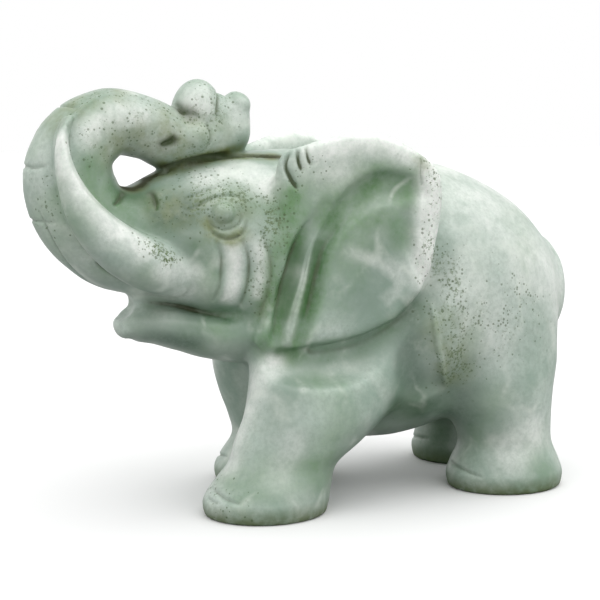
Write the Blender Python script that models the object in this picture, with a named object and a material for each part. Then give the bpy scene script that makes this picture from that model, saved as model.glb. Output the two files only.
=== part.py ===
"""A standing elephant with its trunk raised, carved from one block of green jade.

The carver's work is repeated in order: solid blanks for the torso, head, trunk, tusks, ears and legs are
built as closed skins in one mesh, a voxel remesh makes them a single stone, polishing rounds every joint,
and a last flat cut grinds the four soles to one plane.

The elephant faces -Y with its left side towards +X. +Z is up and the soles stand on z = 0.
All the tables and sizes are in millimetres.
"""

import math

import bmesh
import bpy
from mathutils import Vector

MM = 0.001

# --- Driving dimensions -------------------------------------------------------------------------------
LENGTH = 123.0  # front of the trunk to the back of the rump
WIDTH = 51.0  # over the ears, and over the feet
HEIGHT = 88.0  # soles to the top of the trunk's tip
LEG_GAP = 4.8  # between the left and right feet
FOOT_HALF_WIDTH = 11.6
FOOT_HALF_LENGTH = 13.0
ANKLE_HALF_WIDTH = 10.0
TRUNK_WIDTH = 18.0  # across the front of the raised loop
TRUNK_DEPTH = 18.0  # from the loop's eye to its outer face
EAR_THICKNESS = 6.0
EAR_HOLLOW = 1.8  # how far the middle of the ear is scooped below its rim
EAR_FLARE = 13.5  # degrees, how far the ears stand away from straight back
RIGHT_EAR_BACK = 3.0  # the right ear was carved this much further back
TUSK_THICKNESS = 8.4  # across the root
EYE_RADIUS = 2.6
TAIL_WIDTH = 4.2

# The blanks below are drawn at these sizes, about a point on the ground this far in front of their middle.
DRAWN_LENGTH = 123.0
DRAWN_WIDTH = 51.0
DRAWN_HEIGHT = 88.0
MIDDLE_Y = 2.0

FOOT_SPREAD = LEG_GAP / 2 + FOOT_HALF_WIDTH  # middle plane to the middle of each foot

VOXEL = 0.8  # grain of the remesh that joins the blanks
POLISH_PASSES = 9
KEPT_FACES = 0.065  # share of the remeshed faces that the finished solid keeps
SOLE_CUT = 1.0  # the blanks' feet reach this far below the ground plane, and are ground off

RING_SIDES = 28
STEPS_BETWEEN = 4
DOME_STEPS = 4
EAR_RINGS = 8

JADE = (0.50, 0.60, 0.50, 1.0)


# --- Ways of making a blank ---------------------------------------------------------------------------
def curve_through(rows, steps=STEPS_BETWEEN):
    """Rows of numbers on a smooth Catmull-Rom curve through the given rows."""
    ends = [rows[0], *rows, rows[-1]]
    found = []
    for before, start, end, after in zip(ends, ends[1:], ends[2:], ends[3:]):
        for step in range(steps):
            t = step / steps
            found.append([
                0.5 * (2 * b + (c - a) * t + (2 * a - 5 * b + 4 * c - d) * t**2 + (3 * b - a - 3 * c + d) * t**3)
                for a, b, c, d in zip(before, start, end, after)
            ])
    found.append(list(rows[-1]))
    return found


def closed_curve_through(rows, steps=STEPS_BETWEEN):
    """The same curve run round a closed outline, without its repeated last point."""
    ring = curve_through([rows[-1], *rows, rows[0], rows[1]], steps)
    return ring[steps : steps * (len(rows) + 1)]


def add_ring(mesh, centre, across, along, half_across, half_along):
    turns = (2 * math.pi * side / RING_SIDES for side in range(RING_SIDES))
    return [
        mesh.verts.new((centre + across * half_across * math.cos(turn) + along * half_along * math.sin(turn)) * MM)
        for turn in turns
    ]


def skin_between(mesh, rings):
    """Quads between each two rings, and a fan closing each end. The whole skin is one closed body."""
    for lower, upper in zip(rings, rings[1:]):
        for side in range(len(lower)):
            following = (side + 1) % len(lower)
            mesh.faces.new((lower[side], lower[following], upper[following], upper[side]))
    mesh.faces.new(tuple(reversed(rings[0])))
    mesh.faces.new(tuple(rings[-1]))


def loft(mesh, stations, level=False, dome=0.7):
    """A limb with elliptical sections, each station being (x, y, z, half width, half depth).

    Sections stand square to the limb's own line, or lie level if asked. Both ends close with a dome, whose
    height is the given share of the end section's smaller half.
    """
    rows = curve_through(stations)
    centres = [Vector(row[:3]) for row in rows]
    rings = []
    for index, row in enumerate(rows):
        line = (centres[min(index + 1, len(rows) - 1)] - centres[max(index - 1, 0)]).normalized()
        normal = Vector((0, 0, math.copysign(1, line.z))) if level else line
        across = (Vector((1, 0, 0)) - normal * normal.x).normalized()
        along = normal.cross(across)
        turns = [0.0]
        if index == 0:
            turns = [-math.pi / 2 * (1 - step / DOME_STEPS) for step in range(1, DOME_STEPS + 1)]
        elif index == len(rows) - 1:
            turns = [math.pi / 2 * step / DOME_STEPS for step in range(DOME_STEPS)]
        reach = dome * min(row[3:5])
        for turn in turns:
            centre = centres[index] + normal * reach * math.sin(turn)
            rings.append(
                add_ring(mesh, centre, across, along, row[3] * math.cos(turn), row[4] * math.cos(turn))
            )
    skin_between(mesh, rings)


def ball(mesh, centre, halves):
    """An ellipsoid blank."""
    x, y, z = centre
    half_x, half_y, half_z = halves
    turns = [-math.pi / 2 + math.pi * step / (2 * DOME_STEPS) for step in range(1, 2 * DOME_STEPS)]
    rings = [
        add_ring(
            mesh,
            Vector((x, y, z + half_z * math.sin(turn))),
            Vector((1, 0, 0)),
            Vector((0, 1, 0)),
            half_x * math.cos(turn),
            half_y * math.cos(turn),
        )
        for turn in turns
    ]
    skin_between(mesh, rings)


def ear_blank(mesh, side, back):
    """A thick leaf on a plane that flares back from the cheek, rounded all round its edge."""
    outline = closed_curve_through(EAR_OUTLINE)
    slope = math.tan(math.radians(EAR_FLARE))

    def place(y, z, out):
        return Vector((side * (EAR_FRONT_X + (y - EAR_FRONT_Y) * slope + out), y + back, z)) * MM

    rings = []
    shares = [step / EAR_RINGS for step in range(1, EAR_RINGS + 1)]
    faces = [(share, 1) for share in shares] + [(share, -1) for share in reversed(shares[:-1])]
    for share, face in faces:
        half = EAR_THICKNESS / 2 * math.sqrt(max(0.0, 1 - share**6))
        ring = []
        for y, z in outline:
            point_y = EAR_MIDDLE[0] + (y - EAR_MIDDLE[0]) * share
            point_z = EAR_MIDDLE[1] + (z - EAR_MIDDLE[1]) * share
            scoop = EAR_HOLLOW * (1 - share**4) if face > 0 else 0
            ring.append(mesh.verts.new(place(point_y, point_z, face * half - EAR_THICKNESS / 2 - scoop)))
        rings.append(ring)
    skin_between(mesh, rings)


# --- The blanks, drawn in millimetres -----------------------------------------------------------------
TORSO = [
    (0, -11, 47, 13, 15),
    (0, -3, 45, 18.5, 24),
    (0, 8, 42.4, 21.6, 29.8),
    (0, 20, 41.8, 23.8, 31),
    (0, 32, 42.6, 24.6, 28.2),
    (0, 43, 42.5, 23, 23.6),
    (0, 51, 42.2, 19.6, 18.6),
    (0, 57, 42, 14.5, 13),
]

# Nape, crown and face, running on into the trunk's root.
HEAD = [
    (0, 8, 55, 15, 17),
    (0, -3, 55.5, 17, 18.5),
    (0, -13, 56, 16.6, 17.6),
    (0, -23, 56.5, 14.6, 15.8),
    (0, -31, 57, 12.2, 13),
    (0, -37, 56.6, 10.5, 10),
]

UPPER_LIP = [
    (0, -12, 47, 15.5, 9),
    (0, -22, 47.8, 13.6, 8),
    (0, -30, 49.8, 11.4, 6.8),
    (0, -36, 50.2, 10, 5.6),
]

LOWER_JAW = [
    (0, -4, 40, 14, 11),
    (0, -14, 37.2, 12.8, 8.4),
    (0, -21, 36.6, 11.8, 6.2),
    (0, -27, 37.6, 10.2, 5.3),
    (0, -33, 38.7, 8.4, 4.5),
    (0, -37.4, 38.7, 6.2, 3.7),
    (0, -39.8, 38.1, 4, 2.5),
]

TONGUE = [
    (0, -16, 44, 8, 6),
    (0, -28, 43.5, 5.5, 6),
    (0, -37, 43, 3, 4.5),
]


# The loop of the trunk runs round its eye: (turn in degrees, eye's reach that way, share of the trunk's width,
# share of its depth). A turn of 0 faces the tail and 90 the sky.
LOOP_EYE = (-38.5, 69.5)
LOOP = [
    (261, 2.8, 1.1, 1.18),
    (223, 3.0, 1.04, 1.07),
    (185, 2.9, 0.98, 1.02),
    (149, 3.6, 0.95, 0.89),
    (109, 3.7, 0.88, 0.77),
    (66, 3.4, 0.78, 0.7),
]


def trunk_stations():
    """The trunk leaves the face, curls forward, up and back round its eye, and ends on the brow."""
    across = TRUNK_WIDTH / 2
    deep = TRUNK_DEPTH / 2
    stations = [(0, -32, 56.2, 1.12 * across, 1.22 * deep)]
    for turn, reach, wide, share in LOOP:
        out = reach + share * deep
        y = LOOP_EYE[0] + out * math.cos(math.radians(turn))
        z = LOOP_EYE[1] + out * math.sin(math.radians(turn))
        stations.append((0, y, z, wide * across, share * deep))
    stations += [
        (0, -28.5, 76, 0.7 * across, 0.68 * deep),
        (0, -21, 76.8, 0.64 * across, 0.56 * deep),
        (0, -15.5, 78, 0.56 * across, 0.5 * deep),
    ]
    return stations


# Petals of the trunk's tip: (centre, half sizes).
TRUNK_TIP = [
    ((0, -23.8, 82.6), (4.6, 4.4, 5.9)),
    ((0, -15.4, 80.2), (4.2, 3.1, 5.8)),
    ((4.2, -25.4, 76.2), (3.0, 3.2, 3.2)),
    ((-4.2, -25.4, 76.2), (3.0, 3.2, 3.2)),
]


EYE_X = 13.0
EYE_Y = -23.0
EYE_Z = 61.7
EYE_LENGTHENING = 1.15


# Tusk stations: (distance outside the trunk's side, y, z, share of the root's width, share of its depth).
TUSK = [
    (0.0, -30.5, 49.6, 0.8, 1.15),
    (1.2, -36, 51.2, 1.0, 1.3),
    (1.6, -41.5, 53.6, 1.0, 1.22),
    (1.4, -46.5, 57.2, 0.98, 1.1),
    (1.0, -50.6, 62, 0.92, 0.88),
    (0.6, -53.2, 67.2, 0.8, 0.62),
    (0.2, -54.6, 72.2, 0.66, 0.42),
    (-0.4, -54.8, 76.6, 0.5, 0.32),
    (-1.4, -53.6, 80.2, 0.4, 0.25),
]


def tusk_stations(side):
    """The tusk leaves the lip beside the trunk and lies along it almost to the top of the loop."""
    root = TUSK_THICKNESS / 2
    return [
        (side * (TRUNK_WIDTH / 2 + out), y, z, root * wide, root * deep) for out, y, z, wide, deep in TUSK
    ]


EAR_FRONT_X = 17.5
EAR_FRONT_Y = -17.0
EAR_MIDDLE = (2.5, 56.0)
EAR_OUTLINE = [
    (-16.5, 35.2),
    (-12.5, 44),
    (-11.5, 56),
    (-12.5, 68),
    (-11.2, 73.4),
    (-6.5, 75.4),
    (-1.7, 76.8),
    (4.5, 77.5),
    (10.8, 76.4),
    (17, 73),
    (20.4, 69.4),
    (21.2, 64),
    (20.4, 58),
    (18.8, 50.7),
    (16.6, 44.8),
    (12.5, 40),
    (7.8, 37.4),
    (1.5, 35.3),
    (-6, 34.4),
]


def leg_stations(side, foot_y, ankle_y, thigh_y, ankle_length, thigh_length, lean, top):
    """Level sections from below the sole up to `top`. `lean` lets out the shank below the thigh."""
    foot_x = side * FOOT_SPREAD
    length = FOOT_HALF_LENGTH
    return [
        (foot_x, foot_y, -SOLE_CUT, 0.95 * FOOT_HALF_WIDTH, 0.95 * length),
        (foot_x, foot_y, 2.5, FOOT_HALF_WIDTH, 1.02 * length),
        (foot_x, (2 * foot_y + ankle_y) / 3, 5.8, 0.96 * FOOT_HALF_WIDTH, (2 * length + ankle_length) / 3),
        (foot_x, ankle_y, 10, ANKLE_HALF_WIDTH, ankle_length),
        (foot_x, ankle_y + 0.35 * (thigh_y - ankle_y), 14.5, 1.02 * ANKLE_HALF_WIDTH, 1.06 * ankle_length + lean),
        (
            foot_x - 0.2 * side,
            ankle_y + 0.75 * (thigh_y - ankle_y),
            20.5,
            1.09 * ANKLE_HALF_WIDTH,
            0.5 * (ankle_length + thigh_length) + lean,
        ),
        *((foot_x - inset * side, thigh_y, z, wide, share * thigh_length) for inset, z, wide, share in top),
    ]


# Inner stations of a leg: (how far inside the foot's middle, height, half width, share of the thigh's length).
SHOULDER = [(1.6, 28, 10.6, 1.0), (5, 36, 10, 0.95), (8, 46, 9, 0.8)]
HAUNCH = [(1.2, 28.5, 11.4, 1.0), (3, 38, 12, 1.0), (6, 46, 10, 0.8)]

# The left legs stride forward and the right legs back.
LEGS = [
    leg_stations(1, -14.2, -10.6, 0.8, ankle_length=11.8, thigh_length=17.5, lean=1.6, top=SHOULDER),
    leg_stations(-1, -0.6, 0.4, 1.2, ankle_length=9.8, thigh_length=16.2, lean=0.7, top=SHOULDER),
    leg_stations(1, 43.4, 43.4, 40.6, ankle_length=10.4, thigh_length=15.2, lean=0, top=HAUNCH),
    leg_stations(-1, 50.4, 48.6, 42.0, ankle_length=10.0, thigh_length=14.6, lean=0, top=HAUNCH),
]


def tail_stations():
    half = TAIL_WIDTH / 2
    return [
        (0, 53, 60, 1.1 * half, 0.9 * half),
        (0, 58.6, 53, 1.0 * half, 0.9 * half),
        (0, 61.2, 45, 0.85 * half, 0.85 * half),
        (0.6, 61.2, 37.5, 0.85 * half, 0.85 * half),
        (1.2, 59, 31, 0.85 * half, 0.85 * half),
        (1.8, 56, 27, 1.2 * half, 0.9 * half),
    ]


# --- The stone ----------------------------------------------------------------------------------------
def fit_to_driving_sizes(mesh):
    """Centres the drawing fore and aft, and stretches it to the length, width and height asked for."""
    stretch = Vector((WIDTH / DRAWN_WIDTH, LENGTH / DRAWN_LENGTH, HEIGHT / DRAWN_HEIGHT))
    for vert in mesh.verts:
        vert.co.y -= MIDDLE_Y * MM
        vert.co = Vector(a * b for a, b in zip(vert.co, stretch))


def build_blanks():
    mesh = bmesh.new()
    loft(mesh, TORSO, dome=0.42)
    loft(mesh, HEAD)
    loft(mesh, UPPER_LIP)
    loft(mesh, LOWER_JAW)
    loft(mesh, TONGUE)
    loft(mesh, trunk_stations())
    for centre, halves in TRUNK_TIP:
        ball(mesh, centre, halves)
    for side in (1, -1):
        loft(mesh, tusk_stations(side))
        ear_blank(mesh, side, back=0 if side > 0 else RIGHT_EAR_BACK)
        ball(mesh, (side * EYE_X, EYE_Y, EYE_Z), (EYE_RADIUS, EYE_LENGTHENING * EYE_RADIUS, EYE_RADIUS))
    for stations in LEGS:
        loft(mesh, stations, level=True)
    loft(mesh, tail_stations())
    fit_to_driving_sizes(mesh)
    bmesh.ops.recalc_face_normals(mesh, faces=mesh.faces)
    return mesh


def jade():
    material = bpy.data.materials.new("polished_green_jade")
    material.use_nodes = True
    shader = material.node_tree.nodes["Principled BSDF"]
    shader.inputs["Base Color"].default_value = JADE
    shader.inputs["Roughness"].default_value = 0.25
    shader.inputs["Metallic"].default_value = 0.0
    return material


def sole_cutter():
    """A flat block under the ground plane. It takes off what the feet have below the soles."""
    bpy.ops.mesh.primitive_cube_add(size=1)
    block = bpy.context.object
    block.name = "sole_cutter"
    depth = 10 * MM
    block.dimensions = (2 * WIDTH * MM, 2 * LENGTH * MM, depth)
    block.location = (0, 0, -depth / 2)
    bpy.ops.object.transform_apply(location=True, rotation=False, scale=True)
    block.hide_render = True
    block.display_type = "WIRE"
    return block


def build_elephant():
    blanks = build_blanks()
    data = bpy.data.meshes.new("elephant_carving")
    blanks.to_mesh(data)
    blanks.free()
    elephant = bpy.data.objects.new("elephant_carving", data)
    bpy.context.scene.collection.objects.link(elephant)
    data.materials.append(jade())

    join = elephant.modifiers.new("join_blanks", "REMESH")
    join.mode = "VOXEL"
    join.voxel_size = VOXEL * MM
    join.use_smooth_shade = True

    polish = elephant.modifiers.new("polish", "SMOOTH")
    polish.factor = 0.5
    polish.iterations = POLISH_PASSES

    thin = elephant.modifiers.new("thin_faces", "DECIMATE")
    thin.ratio = KEPT_FACES

    grind = elephant.modifiers.new("grind_soles", "BOOLEAN")
    grind.operation = "DIFFERENCE"
    grind.object = sole_cutter()
    return elephant


for leftover in list(bpy.data.objects):
    bpy.data.objects.remove(leftover)
build_elephant()
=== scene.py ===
import math

import bpy
import numpy as np
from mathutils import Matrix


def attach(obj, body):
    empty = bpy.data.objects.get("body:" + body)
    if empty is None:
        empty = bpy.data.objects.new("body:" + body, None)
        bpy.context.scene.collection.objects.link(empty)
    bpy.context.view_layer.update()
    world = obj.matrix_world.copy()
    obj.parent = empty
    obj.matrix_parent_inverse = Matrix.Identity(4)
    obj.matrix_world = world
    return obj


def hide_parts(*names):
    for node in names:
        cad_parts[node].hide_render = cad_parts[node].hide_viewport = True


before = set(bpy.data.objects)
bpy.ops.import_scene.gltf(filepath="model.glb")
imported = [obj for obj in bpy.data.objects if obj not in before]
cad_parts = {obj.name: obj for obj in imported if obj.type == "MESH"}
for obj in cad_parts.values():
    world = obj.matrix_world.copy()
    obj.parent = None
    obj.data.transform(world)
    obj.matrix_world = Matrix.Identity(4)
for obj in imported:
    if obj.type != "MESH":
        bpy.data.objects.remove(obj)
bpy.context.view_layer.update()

import openvdb
from mathutils import Vector


# ------------------------------
# The block, roughed out
# A piece of pale jade, sawn to size and ground with coarse diamond wheels into the elephant's large masses:
# torso, head, trunk, jaw and legs. The masses run into each other in wide hollows, as a wheel leaves them.
# Everything here is in millimetres, drawn about a point on the ground 2 mm in front of the middle.
# ------------------------------
MIDDLE_Y = 2.0
GRAIN = 0.42  # distance between the points at which the block is known
REACH = 6.5  # how far from a skin its distance is known
BLOCK_LOW = np.array((-30.0, -64.0, -3.4))
BLOCK_HIGH = np.array((30.0, 68.0, 91.5))
CORNER = np.floor(BLOCK_LOW / GRAIN).astype(int)
CORNER[0] = -int(BLOCK_HIGH[0] / GRAIN)
SHAPE = np.ceil(BLOCK_HIGH / GRAIN).astype(int) - CORNER + 1
SHAPE[0] = -2 * CORNER[0] + 1
SIDES = 64
STEPS = 8
DOME_STEPS = 8


def curve_through(rows, steps=STEPS):
    """Rows of numbers on a smooth Catmull-Rom curve through the given rows."""
    rows = np.array(rows, float)
    ends = np.vstack([rows[:1], rows, rows[-1:]])
    t = np.linspace(0, 1, steps, endpoint=False)[:, None]
    spans = [
        0.5 * (2 * b + (c - a) * t + (2 * a - 5 * b + 4 * c - d) * t**2 + (3 * b - a - 3 * c + d) * t**3)
        for a, b, c, d in zip(ends, ends[1:], ends[2:], ends[3:])
    ]
    return np.vstack([*spans, rows[-1:]])


def closed_skin(rings):
    """Points, quads and end fans of a skin through rings of equal length."""
    rings = np.array(rings, float)
    count, sides = rings.shape[:2]
    points = np.vstack([rings.reshape(-1, 3), rings[0].mean(0)[None], rings[-1].mean(0)[None]])
    side = np.arange(sides)
    following = np.roll(side, -1)
    band = np.stack([side, following, following + sides, side + sides], 1)
    quads = np.vstack([band + row * sides for row in range(count - 1)])
    last = (count - 1) * sides
    fans = np.vstack([
        np.stack([np.full(sides, count * sides), following, side], 1),
        np.stack([np.full(sides, count * sides + 1), side + last, following + last], 1),
    ])
    return points, quads, fans


def distance_to(skin):
    """The block's grid, filled with the distance to a closed skin: negative inside, at most REACH."""
    points, quads, fans = skin
    shell = openvdb.FloatGrid.createLevelSetFromPolygons(
        points,
        triangles=fans,
        quads=quads,
        transform=openvdb.createLinearTransform(voxelSize=GRAIN),
        halfWidth=REACH / GRAIN,
    )
    block = np.full(SHAPE, REACH, np.float32)
    shell.copyToArray(block, ijk=tuple(int(n) for n in CORNER))
    return block


def limb(stations, level=False, dome=0.7, square=2.0):
    """A limb through stations (x, y, z, half width, half depth), domed at both ends.

    Sections stand square to the limb's line, or lie level. square is 2 for an ellipse and more for a
    fuller section.
    """
    rows = curve_through(stations)
    turns = np.linspace(0, 2 * math.pi, SIDES, endpoint=False)
    cos, sin = np.cos(turns), np.sin(turns)
    round_x = np.sign(cos) * np.abs(cos) ** (2 / square)
    round_y = np.sign(sin) * np.abs(sin) ** (2 / square)
    rings = []
    for index, row in enumerate(rows):
        line = rows[min(index + 1, len(rows) - 1), :3] - rows[max(index - 1, 0), :3]
        line = line / np.linalg.norm(line)
        normal = np.array((0, 0, math.copysign(1, line[2]))) if level else line
        across = np.array((1.0, 0, 0)) - normal * normal[0]
        across = across / np.linalg.norm(across)
        along = np.cross(normal, across)
        tilts = [0.0]
        if index == 0:
            tilts = [-math.pi / 2 * (1 - step / DOME_STEPS) for step in range(1, DOME_STEPS + 1)]
        elif index == len(rows) - 1:
            tilts = [math.pi / 2 * step / DOME_STEPS for step in range(DOME_STEPS)]
        for tilt in tilts:
            middle = row[:3] + normal * dome * row[3:5].min() * math.sin(tilt)
            wide = row[3] * math.cos(tilt)
            deep = row[4] * math.cos(tilt)
            rings.append(middle + np.outer(round_x * wide, across) + np.outer(round_y * deep, along))
    return distance_to(closed_skin(rings))


def melt(one, other, hollow):
    """Joins two masses, filling the corner between them with a hollow of about that radius."""
    near = np.maximum(hollow - np.abs(one - other), 0) / hollow
    return np.minimum(one, other) - near**3 * (hollow / 6)


def cut(stone, tool, soften):
    """Takes a tool's shape out of the stone and softens the edge by about that radius."""
    return -melt(-stone, tool, soften)


def both_sides(mass):
    """The mass and its mirror image across the middle plane."""
    return np.minimum(mass, mass[::-1])


TORSO = [
    (0, -11, 47, 13, 15),
    (0, -3, 45, 18.5, 24),
    (0, 8, 42.4, 21.6, 29.8),
    (0, 20, 41.8, 23.8, 31),
    (0, 32, 42.6, 24.6, 28.2),
    (0, 43, 42.5, 23, 23.6),
    (0, 51, 42.2, 19.6, 18.6),
    (0, 57, 42, 14.5, 13),
]
HEAD = [
    (0, 8, 55, 15, 17),
    (0, -3, 55.5, 17, 18.5),
    (0, -13, 56, 16.6, 17.6),
    (0, -23, 56.5, 14.6, 15.8),
    (0, -31, 57, 12.2, 13),
    (0, -37, 56.6, 10.5, 10),
]
UPPER_LIP = [
    (0, -12, 47, 15.5, 9),
    (0, -22, 47.8, 13.6, 8),
    (0, -30, 49.8, 11.4, 6.8),
    (0, -36, 50.2, 10, 5.6),
]
LOWER_JAW = [
    (0, -4, 40, 14, 11),
    (0, -14, 37.2, 12.8, 8.4),
    (0, -21, 36.6, 11.8, 6.2),
    (0, -27, 37.6, 10.2, 5.3),
    (0, -33, 38.7, 8.4, 4.5),
    (0, -37.4, 38.7, 6.2, 3.7),
    (0, -39.8, 38.1, 4, 2.5),
]
TONGUE = [
    (0, -16, 44, 8, 6),
    (0, -28, 43.5, 6, 6),
    (0, -35.6, 43, 4, 4.6),
]
TRUNK_WIDTH = 18.0
TRUNK_DEPTH = 18.0
LOOP_EYE = (-38.5, 69.5)
# (turn in degrees round the loop's eye, the eye's reach that way, share of width, share of depth)
LOOP = [
    (261, 2.8, 1.1, 1.18),
    (223, 3.0, 1.04, 1.07),
    (185, 2.9, 0.98, 1.02),
    (149, 3.6, 0.95, 0.89),
    (109, 3.7, 0.88, 0.77),
    (66, 3.4, 0.78, 0.7),
]
trunk = [(0, -32, 56.2, 0.56 * TRUNK_WIDTH, 0.61 * TRUNK_DEPTH)]
for turn, reach, wide, share in LOOP:
    out = reach + share * TRUNK_DEPTH / 2
    trunk.append((
        0,
        LOOP_EYE[0] + out * math.cos(math.radians(turn)),
        LOOP_EYE[1] + out * math.sin(math.radians(turn)),
        wide * TRUNK_WIDTH / 2,
        share * TRUNK_DEPTH / 2,
    ))
trunk += [
    (0, -28.5, 76, 0.35 * TRUNK_WIDTH, 0.34 * TRUNK_DEPTH),
    (0, -21, 76.8, 0.32 * TRUNK_WIDTH, 0.28 * TRUNK_DEPTH),
    (0, -15.5, 78, 0.28 * TRUNK_WIDTH, 0.25 * TRUNK_DEPTH),
]

FOOT_SPREAD = 14.0
FOOT_HALF_WIDTH = 11.6
FOOT_HALF_LENGTH = 13.0
ANKLE_HALF_WIDTH = 10.0
# The leg's top: (how far inside the foot's middle, height, half width, share of the thigh's length)
SHOULDER = [(1.6, 28, 10.6, 1.0), (5, 36, 10, 0.95), (8, 46, 9, 0.8)]
HAUNCH = [(1.2, 28.5, 11.4, 1.0), (3, 38, 12, 1.0), (6, 46, 10, 0.8)]


def leg(side, foot_y, ankle_y, thigh_y, ankle_length, thigh_length, lean, top):
    """A leg from 2 mm below the sole up into the body."""
    x = side * FOOT_SPREAD
    length = FOOT_HALF_LENGTH
    stations = [
        (x, foot_y, -2, 0.93 * FOOT_HALF_WIDTH, 0.93 * length),
        (x, foot_y, 2.5, FOOT_HALF_WIDTH, 1.02 * length),
        (x, (2 * foot_y + ankle_y) / 3, 5.8, 0.96 * FOOT_HALF_WIDTH, (2 * length + ankle_length) / 3),
        (x, ankle_y, 10, ANKLE_HALF_WIDTH, ankle_length),
        (
            x,
            ankle_y + 0.35 * (thigh_y - ankle_y),
            14.5,
            1.02 * ANKLE_HALF_WIDTH,
            1.06 * ankle_length + lean,
        ),
        (
            x - 0.2 * side,
            ankle_y + 0.75 * (thigh_y - ankle_y),
            20.5,
            1.09 * ANKLE_HALF_WIDTH,
            0.5 * (ankle_length + thigh_length) + lean,
        ),
        *((x - inset * side, thigh_y, z, wide, share * thigh_length) for inset, z, wide, share in top),
    ]
    return limb(stations, level=True)


stone = limb(TORSO, dome=0.42)
stone = melt(stone, leg(1, 43.4, 43.4, 40.6, 10.4, 15.2, 0, HAUNCH), 5.0)
stone = melt(stone, leg(-1, 50.4, 48.6, 42.0, 10.0, 14.6, 0, HAUNCH), 5.0)
stone = melt(stone, leg(1, -14.2, -10.6, 0.8, 11.8, 17.5, 1.6, SHOULDER), 5.0)
stone = melt(stone, leg(-1, -0.6, 0.4, 1.2, 9.8, 16.2, 0.7, SHOULDER), 5.0)
stone = melt(stone, limb(HEAD), 4.0)
stone = melt(stone, limb(UPPER_LIP), 3.0)
jaw = melt(limb(LOWER_JAW), limb(TONGUE), 1.5)
stone = melt(stone, jaw, 2.0)
stone = melt(stone, limb(trunk), 2.5)


# ------------------------------
# The trunk's tip
# Petal-like lobes at the end of the trunk, ground with a small wheel and left joined to the brow.
# ------------------------------
def ball(centre, halves, lean=0.0):
    """An ellipsoid, leaning back by so many degrees."""
    turns = np.linspace(0, 2 * math.pi, SIDES, endpoint=False)
    tilts = np.linspace(-math.pi / 2, math.pi / 2, 34)[1:-1]
    rings = []
    for tilt in tilts:
        flat = np.stack([
            halves[0] * math.cos(tilt) * np.cos(turns),
            halves[1] * math.cos(tilt) * np.sin(turns),
            np.full(SIDES, halves[2] * math.sin(tilt)),
        ], 1)
        angle = math.radians(lean)
        y = flat[:, 1] * math.cos(angle) + flat[:, 2] * math.sin(angle)
        z = -flat[:, 1] * math.sin(angle) + flat[:, 2] * math.cos(angle)
        rings.append(np.stack([flat[:, 0], y, z], 1) + np.array(centre))
    return distance_to(closed_skin(rings))


tip = melt(ball((0, -23.6, 82.0), (5.6, 5.0, 6.4), lean=6), ball((0, -19.4, 79.6), (4.9, 4.2, 5.9)), 1.5)
tip = melt(tip, ball((0, -15.4, 79.2), (4.8, 3.3, 6.7), lean=4), 1.5)
tip = melt(tip, ball((0, -14.5, 83.2), (4.4, 2.5, 2.5)), 1.0)
tip = melt(tip, both_sides(ball((4.4, -25.2, 76.4), (3.0, 3.4, 3.3))), 1.2)
stone = melt(stone, tip, 1.2)


# ------------------------------
# The ears
# Broad leaves that stand off the shoulders, scooped out in front and with a thick rolled rim.
# ------------------------------
EAR_THICKNESS = 6.0
EAR_HOLLOW = 1.8
EAR_SLOPE = math.tan(math.radians(13.5))
RIGHT_EAR_BACK = 3.0
EAR_FRONT = (17.5, -17.0)
EAR_MIDDLE = np.array((2.5, 56.0))
EAR_OUTLINE = [
    (-16.5, 35.2),
    (-12.5, 44),
    (-11.5, 56),
    (-12.5, 68),
    (-11.2, 73.4),
    (-6.5, 75.4),
    (-1.7, 76.8),
    (4.5, 77.5),
    (10.8, 76.4),
    (17, 73),
    (20.4, 69.4),
    (21.2, 64),
    (20.4, 58),
    (18.8, 50.7),
    (16.6, 44.8),
    (12.5, 40),
    (7.8, 37.4),
    (1.5, 35.3),
    (-6, 34.4),
]


def ear(side, back):
    """An ear's closed leaf."""
    around = curve_through([EAR_OUTLINE[-1], *EAR_OUTLINE, *EAR_OUTLINE[:2]], 6)
    outline = around[6 : 6 * (len(EAR_OUTLINE) + 1)]
    shares = np.linspace(0, 1, 24)[1:]
    faces = [(share, 1) for share in shares] + [(share, -1) for share in shares[-2::-1]]
    rings = []
    for share, face in faces:
        half = EAR_THICKNESS / 2 * math.sqrt(max(0.0, 1 - share**7))
        scoop = EAR_HOLLOW * (1 - share**4) if face > 0 else 0
        flat = EAR_MIDDLE + (outline - EAR_MIDDLE) * share
        outer = EAR_FRONT[0] + (flat[:, 0] - EAR_FRONT[1]) * EAR_SLOPE
        x = outer + face * half - EAR_THICKNESS / 2 - scoop
        rings.append(np.stack([side * x, flat[:, 0] + back, flat[:, 1]], 1))
    return distance_to(closed_skin(rings))


def groove(rows, back=RIGHT_EAR_BACK):
    """A round-bottomed groove on both sides, through (x, y, z, half width, depth) on the surface."""
    left = []
    for x, y, z, half, depth in rows:
        radius = (half * half + depth * depth) / (2 * depth)
        left.append((x + radius - depth, y, z, radius, radius))
    right = [(-x, y + back, z, wide, deep) for x, y, z, wide, deep in left]
    return np.minimum(limb(left), limb(right))


# the shoulder, ground back under the ear's lower edge so that the ear stands off it
under_ear = groove([
    (15.0, -14.5, 33.4, 3.0, 0.8),
    (18.2, -8.0, 33.0, 4.6, 2.0),
    (19.8, -1.6, 33.2, 5.0, 2.4),
    (20.8, 4.6, 34.6, 5.2, 2.6),
    (22.0, 10.2, 37.0, 5.2, 2.6),
    (23.0, 15.0, 40.4, 5.0, 2.5),
    (23.4, 18.8, 44.6, 4.6, 2.2),
    (23.6, 21.0, 49.6, 4.0, 1.6),
    (23.4, 22.4, 54.6, 3.2, 0.9),
])
stone = cut(stone, under_ear, 2.4)
along_y = ((np.arange(SHAPE[1]) + CORNER[1]) * GRAIN).astype(np.float32)[None, :, None]
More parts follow.
